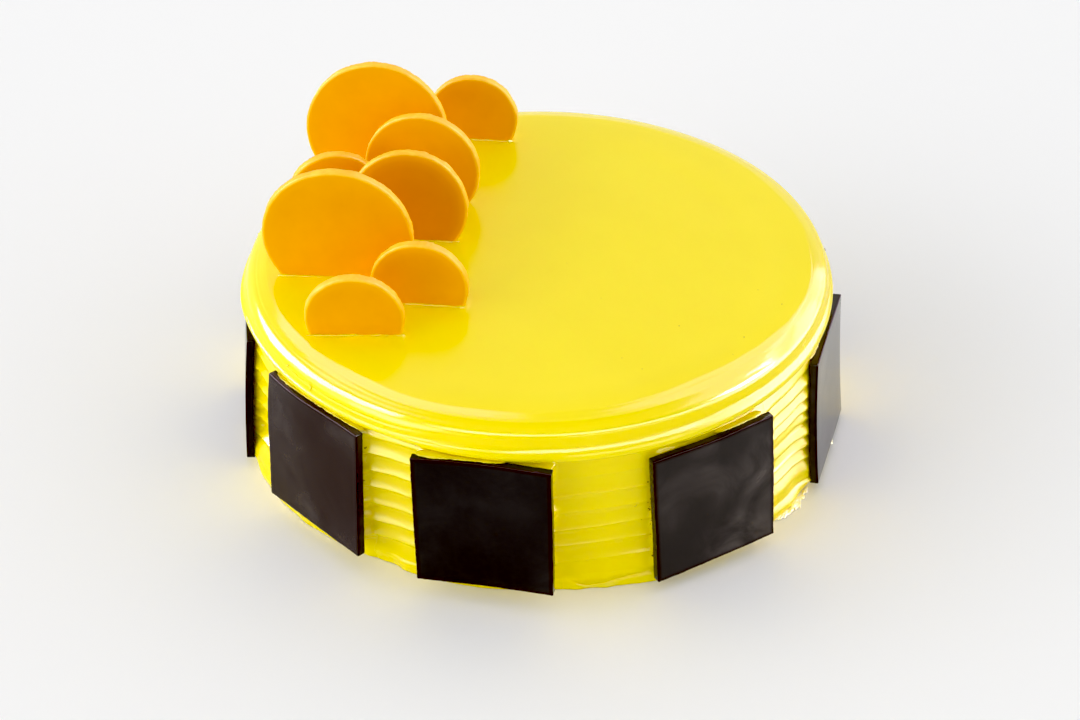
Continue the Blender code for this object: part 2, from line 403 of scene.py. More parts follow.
# 1 where the rim is a rolled lip with a dark line below it, 0 where it is only a soft crest
LIPPED = [(-178, 0.5), (-150, 0.8), (-110, 0.9), (-85, 1.0), (-30, 1.0), (-14, 0.45), (2, 0.0), (30, 0.0), (60, 0.1), (90, 0.3), (120, 0.8), (150, 0.3)]
FOOT = [(-178, 102.0), (-150, 103.2), (-120, 102.4), (-95, 103.6), (-80, 105.8), (-70, 106.6), (-61, 106.0), (-53, 104.8), (-45, 103.0), (-36, 101.4), (-33, 100.4), (-29, 99.9),
        (-27, 100.8), (-22, 101.4), (-10, 100.9), (3.5, 100.3), (7, 100.8), (10, 100.3), (13.5, 101.8), (17, 102.3), (20, 103.0), (23, 103.7),
        (38, 103.6), (52, 104.6), (56, 105.4), (61, 104.8), (66, 105.8), (84, 105.4), (100, 103.4), (125, 102.0), (150, 103.0)]


class Profile:
    """The cream's outline at each angle, in mm."""

    def __init__(self, phi):
        self.phi = phi
        one = np.ones_like(phi)
        self.lip = np.clip(table(phi, LIPPED), 0, 1)
        self.edge = table(phi, EDGE) + 0.35 * around(phi, 23, 0.3 * one, 11) + 0.15 * around(phi, 61, 0.7 * one, 12)
        self.edge_z = TOP_Z - 0.28 + 0.05 * around(phi, 9, 1.7 * one, 10)
        self.roll = 2.4 + 3.0 * self.lip + 0.12 * around(phi, 14, 2.0 * one, 19)
        rim_z = RIM_Z + 0.30 * np.cos(phi + 0.15) + 0.16 * around(phi, 7, 1.3 * one, 13)
        rim_r = RIM_R - 0.5 * (1 - self.lip) + 0.14 * around(phi, 11, 2.2 * one, 14)
        k = math.sqrt(0.5)
        self.rc, self.zc = rim_r - self.roll * k, rim_z - self.roll * k
        self.a0 = math.radians(30)
        self.a1 = np.radians(64 + 14 * self.lip)
        lip_z = LIP_Z + 0.20 * around(phi, 8, 4.1 * one, 15)
        lip_r = LIP_R - 0.4 * (1 - self.lip) + 0.12 * around(phi, 13, 5.2 * one, 16) + 1.2 * hump(phi, -82, 11)
        # the lower roll is broad above and tight below
        broad = 1.9 + 4.4 * (1 - self.lip) + 0.2 * around(phi, 10, 3.1 * one, 20)
        tight = 1.7 + 0.6 * (1 - self.lip)
        d0, d1 = np.radians(34 + 28 * self.lip), np.radians(128 + 20 * self.lip)
        r, z = [0 * phi], [0 * phi]
        steps = np.linspace(0, 1, 15)
        for s0, s1 in zip(steps[:-1], steps[1:]):
            a = d0 + (d1 - d0) * (s0 + s1) / 2
            size = (broad + (tight - broad) * step(math.radians(50), math.radians(64), a)) * (d1 - d0) * (s1 - s0)
            r.append(r[-1] + size * np.cos(a))
            z.append(z[-1] - size * np.sin(a))
        r, z = np.array(r), np.array(z)
        at = (math.radians(80) - d0) / (d1 - d0) * (len(steps) - 1)
        k0 = np.floor(at).astype(int)
        cols = np.arange(len(phi))
        mid_r = r[k0, cols] + (r[k0 + 1, cols] - r[k0, cols]) * (at - k0)
        mid_z = z[k0, cols] + (z[k0 + 1, cols] - z[k0, cols]) * (at - k0)
        off_r = lip_r + 0.5 + 0.6 * (1 - self.lip) - mid_r
        off_z = lip_z - 0.96 - 0.94 * (1 - self.lip) - mid_z
        self.lower = [(a + off_r, b + off_z) for a, b in zip(r, z)]
        self.neck_z = np.minimum(NECK_Z + 0.25 * around(phi, 9, 6.3 * one, 17), self.lower[-1][1] - 0.25)
        self.neck_r = NECK_R - 0.55 - 0.30 * around(phi, 12, 7.7 * one, 18) + 0.9 * hump(phi, -82, 11)
        self.foot = table(phi, FOOT) + 0.30 * around(phi, 70, 0.4 * one, 42) + 0.14 * around(phi, 190, 0.9 * one, 44)


def rim_rings(P):
    """From inside the flat top, over the rim, to the line under the lower roll."""
    phi = P.phi
    out = []

    def add(r, z):
        out.append((r + 0 * phi, z + 0 * phi))

    inner = P.edge - SEAM_R
    for s in np.linspace(0, 1, FLAT_RINGS + 1)[:-1]:         # still flat
        add(SEAM_R + inner * s, TOP_Z - (TOP_Z - P.edge_z) * s ** 2.2)
    rs, zs = P.rc + P.roll * math.sin(P.a0), P.zc + P.roll * math.cos(P.a0)
    for s in np.linspace(0, 1, 27)[:-1]:                     # slopes down to the rim
        r = P.edge + (rs - P.edge) * s
        z = P.edge_z + (zs - P.edge_z) * (0.62 * s + 0.38 * s * s)
        fade = step(0.0, 0.06, s) * step(1.0, 0.9, s)
        q = s * (rs - P.edge)
        z = z + fade * (0.10 * knife(phi, q * 0.55, 21) + 0.030 * knife(phi, q * 1.7 + 7, 26)) * (1 - 0.45 * P.lip)
        z = z + fade * 0.16 * np.exp(-(((s - 0.52 - 0.10 * around(phi, 5, 0.5 + 0 * phi, 27)) / 0.07) ** 2)) * step(-0.9, -0.5, phi) * step(0.9, 0.3, phi)
        z = z - fade * 0.06 * np.exp(-(((s - 0.80) / 0.07) ** 2)) * P.lip
        add(r, z)
    for s in np.linspace(0, 1, 17)[:-1]:                     # the roll itself
        a = P.a0 + (P.a1 - P.a0) * s
        w = 0.012 * knife(phi, s * 2.0 + 20, 22)
        add(P.rc + (P.roll + w) * np.sin(a), P.zc + (P.roll + w) * np.cos(a))
    r0, z0 = P.rc + P.roll * np.sin(P.a1), P.zc + P.roll * np.cos(P.a1)
    r1, z1 = P.lower[0]
    cut = (0.03 + 0.22 * P.lip) * (0.85 + 0.5 * around(phi, 25, 0.5 + 0 * phi, 28))
    for s in np.linspace(0, 1, 15)[:-1]:                     # dips under it and flares to the lower roll
        r = r0 + (r1 - r0) * (s ** 1.7) - cut * np.exp(-(((s - 0.10) / 0.11) ** 2)) * step(0, 0.05, s)
        z = z0 + (z1 - z0) * (1 - (1 - s) ** 1.25)
        r = r + (0.05 + 0.06 * P.lip) * step(0.2, 0.4, s) * step(1.0, 0.8, s) * knife(phi, s * 4.0 + 30, 23)
        add(r, z)
    for i, (r, z) in enumerate(P.lower[:-1]):                # lower roll
        add(r + (0.015 + 0.03 * P.lip) * knife(phi, i * 0.2 + 40, 24), z)
    r0, z0 = P.lower[-1]
    for s in np.linspace(0, 1, 5):
        add(r0 + (P.neck_r - r0) * s ** 0.8, z0 + (P.neck_z - z0) * s)
    return out


def scallop(a, sharp):
    """One comb groove: 1 at the crests (0 and 1), 0 at the hollow, with crests a little rounded."""
    f = np.arange(400) / 400
    raw = np.where(f <= a, np.clip((a - f) / a, 0, 1) ** 1.3, np.clip((f - a) / (1 - a), 0, 1) ** sharp)
    k = np.fft.fftfreq(400, 1 / 400)
    full = np.real(np.fft.ifft(np.fft.fft(raw) * np.exp(-2 * (math.pi * k * 0.024) ** 2)))
    return np.append(full, full[0])


GROOVE, STEPPED, FAINT = scallop(0.27, 1.85), scallop(0.20, 1.08), scallop(0.32, 3.4)


def comb_rings(P):
    """From the line under the lower roll, down the comb's ridges, to the plate and the middle of the base."""
    phi = P.phi
    out = []
    p0 = -(NECK_Z - RIDGE_TOP - PITCH / 2) / PITCH
    ps = [p0 + (0 - p0) * s for s in (0.0, 0.12, 0.3, 0.55, 0.8)]
    for k in range(RIDGES):
        ps += [k + s for s in (0.0, 0.022, 0.05, 0.085, 0.13, 0.19, 0.27, 0.36, 0.46, 0.56, 0.66, 0.75, 0.83, 0.89, 0.935, 0.965, 0.985)]
    ps.append(float(RIDGES))
    for p in ps:
        k = min(max(math.floor(p + 1e-9), -1), RIDGES - 1)
        f = p - k
        free = step(-0.35, 0.15, p) * step(RIDGES + 0.2, RIDGES - 0.8, p)
        wob = 0.36 * around(phi, 6, p * 0.22 + 3.0 + 0 * phi, 31) + 0.20 * around(phi, 17, p * 0.5 + 0 * phi, 32) + 0.10 * around(phi, 41, p * 1.0 + 0 * phi, 37)
        z = RIDGE_TOP + PITCH / 2 - p * PITCH + wob * free
        z = np.where(p < 0, P.neck_z + (RIDGE_TOP + PITCH / 2 + wob * step(-0.35, 0.15, 0.0) - P.neck_z) * (1 - p / p0), z)
        amp = RIDGE_DEEP * (0.86 + 0.26 * around(phi, 10, k * 3.7 + 0.5 + 0 * phi, 33) + 0.16 * around(phi, 33, k * 5.1 + 0.5 + 0 * phi, 34))
        front = step(math.radians(-6), math.radians(4), phi) * step(math.radians(30), math.radians(24), phi)
        amp = amp * (1 - (0.86 if k < 2 else 0.56) * front)
        steps = hump(phi, 58, 15)
        amp = amp * (1 + 0.50 * steps) * (1 + 0.05 * hump(phi, -27, 12))
        if k < 0:
            shape = 0.35 + 0.65 * (1 - p / p0) ** 2.5
        else:
            at = np.arange(401) / 400
            fine = step(math.radians(42), math.radians(47), phi) * step(math.radians(76), math.radians(70), phi)
            shape = np.interp(f, at, GROOVE) * (1 - front) + np.interp(f, at, FAINT) * front
            shape = shape * (1 - fine) + np.interp((p * 1.34 + 0.15) % 1.0, at, STEPPED) * fine * 0.85
        taper = RIDGE_TAPER * min(max(p, 0), RIDGES) / RIDGES
        r = RIDGE_R - taper - RIDGE_DEEP + amp * shape
        r = r + 0.10 * around(phi, 48, p * 3.1 + 0 * phi, 35) * (0.35 + 0.65 * (k < 1)) + 0.035 * around(phi, 150, p * 9.0 + 0 * phi, 36)
        r = r + 0.10 * steps * free * around(phi, 9, p * 3.3 + 0 * phi, 38)
        if k == -1:
            start = step(p0, p0 + 0.12, p)
            r = P.neck_r * (1 - start) + r * start
        low = step(5.4, 7.0, p)
        r = r + (P.foot + 0.9 - 0.6 - r) * low * 0.75
        r = push_to_plaques(phi, r + squeezed(phi, z, RIDGE_R - taper), z)
        out.append((r, z))
    r7, z7 = out[-1]
    bulge = 0.55 + 0.35 * around(phi, 40, 0.4 + 0 * phi, 45)
    tuck = step(math.radians(5), math.radians(10), phi) * step(math.radians(30), math.radians(25), phi)
    zc = z7 * (0.20 + 0.66 * step(math.radians(7), math.radians(23), phi)) * (1 + 0.12 * around(phi, 60, 0.2 + 0 * phi, 46))
    tucked = {0.10: (0.10, 1.0, 0.35), 0.20: (-1.5, 1.0, 0.0), 0.32: (-1.6, 1.0, -0.40), 0.45: (-0.75, 0.72, 0.0), 0.58: (-0.45, 0.54, 0.0),
              0.70: (-0.30, 0.38, 0.0), 0.80: (-0.15, 0.24, 0.0), 0.88: (0.0, 0.12, 0.0), 0.95: (0.0, 0.03, 0.0), 1.00: (-0.3, 0.0, 0.0)}
    fold = 0.9 * hump(phi, 60, 9) + 0.5 * hump(phi, -27, 2.5) + 0.7 * hump(phi, -140, 12) + 0.6 * hump(phi, 130, 9)
    crease = 0.3 * hump(phi, 60, 9)
    for s, rr, zz in (
        (0.10, r7 - crease, z7 - 0.35),
        (0.20, r7 + 0.25 * bulge + 0.3 * fold, z7 - 0.75),
        (0.32, r7 + 0.55 * bulge + 0.7 * fold, z7 * 0.80),
        (0.45, np.maximum(r7, P.foot) * 0.5 + 0.5 * P.foot + 0.75 * bulge + 0.9 * fold, z7 * 0.64),
        (0.58, P.foot + 0.75 * bulge + fold, z7 * 0.47),
        (0.70, P.foot + 0.55 * bulge + 0.9 * fold, z7 * 0.32),
        (0.80, P.foot + 0.30 * bulge + 0.7 * fold, z7 * 0.19),
        (0.88, P.foot + 0.10 * bulge + 0.5 * fold, z7 * 0.09),
        (0.95, P.foot + 0.3 * fold, z7 * 0.02),
        (1.00, P.foot - 0.4 + 0.3 * fold, 0 * phi),
    ):
        tr, tz, up = tucked[s]
        rr = rr + tuck * (r7 + tr - rr)
        zz = zz + tuck * (zc * tz + up - zz)
        rr = rr + 0.14 * around(phi, 110, s * 5 + 0 * phi, 43) * (1 - s) * 2 * s
        out.append((rr + 0 * phi, np.maximum(zz, 0) + 0 * phi))
    return out


def join(gap):
    """1 where the cream goes on in the next piece, gap mm away, and 0 away from there."""
    return step(5.0, 2.0, np.abs(gap))


def ring_mesh(name, rings, mats, close=False, gloss=None, goes_on=()):
    n = len(rings[0][0])
    phi = -math.pi + TAU * np.arange(n) / n
    r = np.array([a for a, _ in rings])
    z = np.array([b for _, b in rings])
    v = np.stack([r * np.sin(phi), -r * np.cos(phi), z], -1).reshape(-1, 3)
    wet = gloss(r, z, phi) + 0 * r
    near = 0 * r
    for i in goes_on:
        near = np.maximum(near, join(np.hypot(r - r[i], z - z[i])))
    ob = new_mesh(name, v, grid_faces(len(rings), n, flip=True), mats, {"gloss": wet.ravel(), "join": near.ravel()})
    bm = bmesh.new()
    bm.from_mesh(ob.data)
    bm.verts.ensure_lookup_table()
    if close:
        base = len(v) - n
        c = bm.verts.new((0, 0, 0))
        bm.verts.ensure_lookup_table()
        for a in range(n):
            bm.faces.new((c, bm.verts[base + (a + 1) % n], bm.verts[base + a]))
    bmesh.ops.recalc_face_normals(bm, faces=bm.faces)
    out = sum((f.calc_center_median().xy.dot(f.normal.xy) if abs(f.normal.z) < 0.7 else 0.0) for f in bm.faces)
    if out < 0:
        bmesh.ops.reverse_faces(bm, faces=bm.faces)
    bm.to_mesh(ob.data)
    bm.free()
    ob.data.shade_smooth()
    return ob


def cream_rim(mats):
    """The flat outer part of the top, and the rim from there on."""
    n = 960
    rings = rim_rings(Profile(-math.pi + TAU * np.arange(n) / n))
    gloss = lambda r, z, phi: step(SEAM_R + 1, 97.0, r) - 1.5 * hump(phi, 62, 17) * step(101.4, 102.4, r)
    return (ring_mesh("cream_shoulder", rings[:SHOULDER + 1], mats, gloss=gloss, goes_on=(0, -1)),
            ring_mesh("cream_rim", rings[SHOULDER:], mats, gloss=gloss, goes_on=(0,)))


def cream_side(mats):
    n = 736
    dull = lambda r, z, phi: 0.5 - 0.7 * hump(phi, -27, 14) - 0.8 * hump(phi, -36, 3.5) - 1.7 * hump(phi, 58, 16) - 2.0 * hump(phi, 14, 13) * step(8.0, 6.0, z)
    return ring_mesh("cream_side", comb_rings(Profile(-math.pi + TAU * np.arange(n) / n)), mats, close=True, gloss=dull)


def knife(phi, s, seed):
    """Faint streaks that run round the cake, as a palette knife leaves them."""
    a = around(phi, 9, s * 0.9 + 0.6 * around(phi, 5, s * 0.1 + 3.0, seed + 7), seed)
    b = around(phi, 17, s * 2.1 + 0.8 * around(phi, 7, s * 0.1 + 9.0, seed + 8), seed + 1)
    return 0.65 * a + 0.35 * b


# how much of the way, at each square's left and right edge
SQUEEZE = [(0.6, 0.6), (0.5, 0.5), (0.25, 0.2), (0.3, 1.0), (1.0, 0.8), (0.6, 0.7), (0.8, 0.5), (0.5, 0.7), (0.7, 0.5)]


def squeezed(phi, z, crest):
    """How far the cream beside each square is squeezed out, with its ridges, to meet the square's edge."""
    out = 0 * phi
    for n, row in enumerate(PLAQUES):
        m = np.array(plaque_matrix(*row))
        back = apply(m, np.array([[0.0, PLAQUE_T / 2, 0.0]]))[0]
        nrm = -m[:3, 1]
        dist = (back @ nrm - z * nrm[2]) / math.hypot(nrm[0], nrm[1])
        d = wrap(phi - math.radians(row[0]))
        x = np.abs(d) * 104.0
        gap = np.clip(dist / math.cos(PLAQUE_W / 2 / 104) - crest - 0.8, 0, 3.0)
        left, right = SQUEEZE[n]
        gap = gap * np.where(d < 0, left, right)
        low, top = row[1], row[1] + PLAQUE_H
        near = np.exp(-((np.clip(x - 21.5, 0, None) / 6.5) ** 2)) * step(low - 2, low + 4, z) * step(top + 2, top - 5, z)
        out = np.maximum(out, gap * near)
    return out


def push_to_plaques(phi, r, z):
    """Cream behind each square is brought out to its back, and held in off its face."""
    for n, row in enumerate(PLAQUES):
        m = np.array(plaque_matrix(*row))
        back = apply(m, np.array([[0.0, PLAQUE_T / 2, 0.0]]))[0]
        nrm = -m[:3, 1]
        den = np.sin(phi) * nrm[0] - np.cos(phi) * nrm[1]
        plane = (back @ nrm - z * nrm[2]) / np.where(np.abs(den) < 0.2, 1e9, den)
        d = wrap(phi - math.radians(row[0]))
        near = np.abs(d) < 0.6
        x = d * 104.0
        low, top = row[1], row[1] + PLAQUE_H
        edge = (20.6 if n in (3, 4) else 21.4) + 0.8 * noise2(z * 0.22, z * 0 + n, 50 + n) + 0.6 * noise2(z * 0.8, z * 0 + n, 70 + n)
        w = step(edge + 2.2, edge - 2.2, np.abs(x)) * step(low + 0.5, low + 4.0, z) * step(top + 0.5, top - 3.0, z)
        want = plane - 0.12
        r = np.where(near & (want > r), r + w * (want - r), r)
        hold = near & (np.abs(x) < PLAQUE_W / 2 + 0.8) & (z > low - 0.6) & (z < top + 0.5)
        r = np.where(hold & (want < r), want, r)
    return r


def top_height(x, y):
    r = np.hypot(x, y)
    fade = step(79.5, 70.0, r)
    h = 0.20 * rough(x / 46 + 5, y / 60 + 9, 61, 2) + 0.04 * rough(x / 9 + 5, y / 30 + 9, 63, 2)
    h = h * fade
    for radius, dx, dy, up, turn, lean in DISCS:
        a = math.radians(turn)
        lx = (x - dx) * math.cos(a) - (y - dy) * math.sin(a)
        ly = (x - dx) * math.sin(a) + (y - dy) * math.cos(a)
        half = math.sqrt(max(1.0, radius ** 2 - up ** 2))
        side = np.abs(lx) - half
        dist = np.hypot(np.maximum(side, 0), np.maximum(np.abs(ly - DISC_T / 2) - DISC_T / 2, 0))
        lift = 0.42 * np.exp(-((dist / 1.5) ** 2)) - 0.12 * np.exp(-(((dist - 4.0) / 2.5) ** 2))
        h = h + lift * (0.6 + 0.5 * noise2(lx * 0.35 + 20, ly * 0.2 + 20, 66)) * step(84, 78, r)
    return h


def cream_top(mats):
    n = 720
    phi = -math.pi + TAU * np.arange(n) / n
    rad = np.concatenate([[0.4], np.linspace(1.6, SEAM_R, 76)])[:, None]
    x, y = rad * np.sin(phi), -rad * np.cos(phi)
    z = TOP_Z + top_height(x, y) * step(SEAM_R, SEAM_R - 3, rad)
    v = np.stack([x, y, z], -1).reshape(-1, 3)
    ob = new_mesh("cream_top", v, grid_faces(len(rad), n), mats, {"join": (join(SEAM_R - rad) + 0 * phi).ravel()})
    bm = bmesh.new()
    bm.from_mesh(ob.data)
    bm.verts.ensure_lookup_table()
    middle = bm.faces.new([bm.verts[a] for a in range(n)])
    bmesh.ops.triangulate(bm, faces=[middle])
    bmesh.ops.recalc_face_normals(bm, faces=bm.faces)
    if sum(f.normal.z for f in bm.faces) < 0:
        bmesh.ops.reverse_faces(bm, faces=bm.faces)
    bm.to_mesh(ob.data)
    bm.free()
    ob.data.shade_smooth()
    return ob


def beads(mats):
    """Cream pushed up in an uneven line where each disc goes in."""
    parts = []
    for i, (radius, dx, dy, up, turn, lean) in enumerate(DISCS):
        half = math.sqrt(radius ** 2 - up ** 2)
        for side, amount in ((-1, 1.0), (1, 0.8)):
            n, m = 120, 12
            t = np.linspace(-1, 1, n)
            lx = t * (half + 0.9)
            ly = np.where(side < 0, -0.05, DISC_T + 0.05) + 0 * t
            ly = ly + up * math.tan(math.radians(lean)) * (-1)
            rad = 0.26 + 0.22 * (rough(t * 11 + 3 * i, t * 0 + side * 3 + i, 81) + 0.6) * amount
            rad = rad * (1 + 1.3 * np.exp(-(((np.abs(t) - 0.93) / 0.10) ** 2)) * (0.5 + 0.5 * noise2(t * 2 + i, t * 0 + side, 83)))
            rad = rad * np.sqrt(np.clip(1 - t ** 8, 0.0, 1))
            a = np.linspace(0, TAU, m, endpoint=False)
            sec_y = ly[:, None] + side * 0.1 + rad[:, None] * 1.25 * np.cos(a)
            sec_z = -0.12 + rad[:, None] * 0.95 * np.sin(a) + 0.10 * noise2(t * 5 + i, t * 0 + 2, 84)[:, None]
            X = np.repeat(lx[:, None], m, 1)
            ang = -math.radians(turn)
            wx = dx + X * math.cos(ang) - sec_y * math.sin(ang)
            wy = dy + X * math.sin(ang) + sec_y * math.cos(ang)
            wz = TOP_Z + top_height(wx, wy) * 0.6 + sec_z
            v = np.stack([wx, wy, wz], -1).reshape(-1, 3)
            parts.append((v, grid_faces(n, m)))
    v, f = merge(parts)
    return new_mesh("cream_beads", v, f, mats)


# --------------------------------------------------------------- the discs
def disc_piece(i, row, mats):
    radius, *place = row
    n = 360
    th = TAU * np.arange(n) / n
    soft, back = 0.95, 0.22
    inner = [0.0, 0.3, 0.55, 0.75, 0.87]
    prof = [((radius - 3.4) * s / 0.87, 0.0) for s in inner] + [(radius - 2.6, 0.0), (radius - 2.0, 0.0), (radius - 1.5, 0.01), (radius - 1.2, 0.03)]
    prof += [(radius - soft + soft * math.sin(a), 0.05 + 0.9 * (soft - soft * math.cos(a))) for a in np.radians(np.linspace(18, 84, 9))]
    prof += [(radius, soft + 0.35), (radius + 0.01, soft + 0.8), (radius + 0.02, DISC_T - 0.9), (radius + 0.02, DISC_T - 0.5)]
    prof += [(radius - back + back * math.cos(a), DISC_T - back + back * math.sin(a)) for a in np.radians(np.linspace(0, 90, 5))]
    prof += [(radius - 0.8, DISC_T), (radius - 2.0, DISC_T), (radius * 0.7, DISC_T), (radius * 0.35, DISC_T), (0.0, DISC_T)]
    P = np.array(prof)
    R = P[:, 0][:, None] * np.ones(n)
    Y = P[:, 1][:, None] * np.ones(n)
    circ = radius * th[None, :]
    rim = step(radius - 2.2, radius - 0.6, R)
    wav = 0.09 * noise2(th / TAU * 22, th * 0 + i, 100 + i, nx=22) + 0.05 * noise2(th / TAU * 80, th * 0 + i, 110 + i, nx=80)
    R = R * (1 + wav[None, :] / radius * rim)
    coarse = noise2(circ * 0.9 + 0 * Y, Y * 1.3 + 7 * i, 120 + i, nx=int(TAU * radius * 0.9) + 1)
    fine = noise2(circ * 2.1 + 0 * Y, Y * 2.3 + 5 * i, 130 + i, nx=int(TAU * radius * 2.1) + 1)
    edge = step(radius - 1.2, radius - 0.2, P[:, 0])[:, None]
    backw = step(1.2, DISC_T, P[:, 1])[:, None]
    R = R + edge * (0.05 * coarse + 0.045 * fine) * (0.5 + 1.3 * backw)
    burr = np.clip(noise2(th / TAU * 46, th * 0 + 3 * i, 140 + i, nx=46) - 0.30, 0, 1)
    R = R + edge * backw * 0.42 * burr[None, :]
    X, Z = R * np.sin(th), R * np.cos(th)
    face = 1 - step(radius - 3.0, radius - 1.4, P[:, 0])[:, None]
    Y = Y + face * 0.04 * rough(X / 11 + 3 * i, Z / 11 + 7, 150 + i, 2) * np.where(Y < 1.0, 1, -1)
    v = np.stack([X, Y, Z], -1).reshape(-1, 3)
    f = grid_faces(len(P), n, flip=False)
    arc = (P[:, 1] < 1.4)
    # Painted glow: a warmer band inside the edge and a paler edge stand in for light shining through the thin rim.
    painted_edge_glow = np.where(arc, step(radius - 1.25, radius - 0.62, P[:, 0]), np.where(P[:, 0] > radius - 0.5, 1.0, 0.2))
    painted_glow = step(radius - 4.6, radius - 1.0, P[:, 0])
    painted_edge_glow = (painted_edge_glow[:, None] * (1 + 0 * th)).ravel()
    painted_glow = (painted_glow[:, None] * (1 + 0 * th)).ravel()
    arris = (np.exp(-(((P[:, 1] - (DISC_T - 0.10)) / 0.26) ** 2)) * (P[:, 0] > radius - 0.6))[:, None]
    deg = (np.degrees(th) + 180) % 360 - 180                  # from the top, + to the right
    lines = {5: [(-32, 34, 1.0), (2, 10, 0.8)], 6: [(-48, 24, 1.0), (60, 12, 0.5)], 3: [(-20, 22, 0.8)], 7: [(60, 16, 0.4), (-10, 20, 0.3)], 4: [(-8, 14, 0.35)]}
    w = 0.10 + 0 * deg
    for at, wide, much in lines.get(i, []):
        w = np.maximum(w, much * np.exp(-(((deg - at) / wide) ** 4)))
    line = arris * np.clip(0.75 + 0.9 * noise2(th / TAU * 60, th * 0 + i, 160 + i, nx=60), 0, 1)[None, :] * w[None, :]
    v = apply(disc_matrix(*place), v)
    up = (v[:, 2] - TOP_Z) / (v[:, 2].max() - TOP_Z)
    # Painted light: each disc's brightness stands in for the shade its neighbours cast on it, and the lower part is
    # made lighter as painted bounce light from the cream.
    painted_light_tone = (0.74, 0.60, 0.70, 0.45, 0.0, 0.55, 0.36, 0.50)[i] + (0.10, 0.30, 0.10, 0.10, 0.16, 0.34, 0.55, 0.30)[i] * step(0.8, 0.0, up)
    ob = new_mesh(f"orange_disc_{i + 1}", v, f, mats, {"rim": painted_edge_glow, "painted_glow": painted_glow, "line": line.ravel(), "painted_light_tone": painted_light_tone})
    bm = bmesh.new()
    bm.from_mesh(ob.data)
    bmesh.ops.remove_doubles(bm, verts=bm.verts, dist=1e-6)
    bmesh.ops.recalc_face_normals(bm, faces=bm.faces)
    bm.to_mesh(ob.data)
    bm.free()
    ob.data.shade_smooth()
    return ob


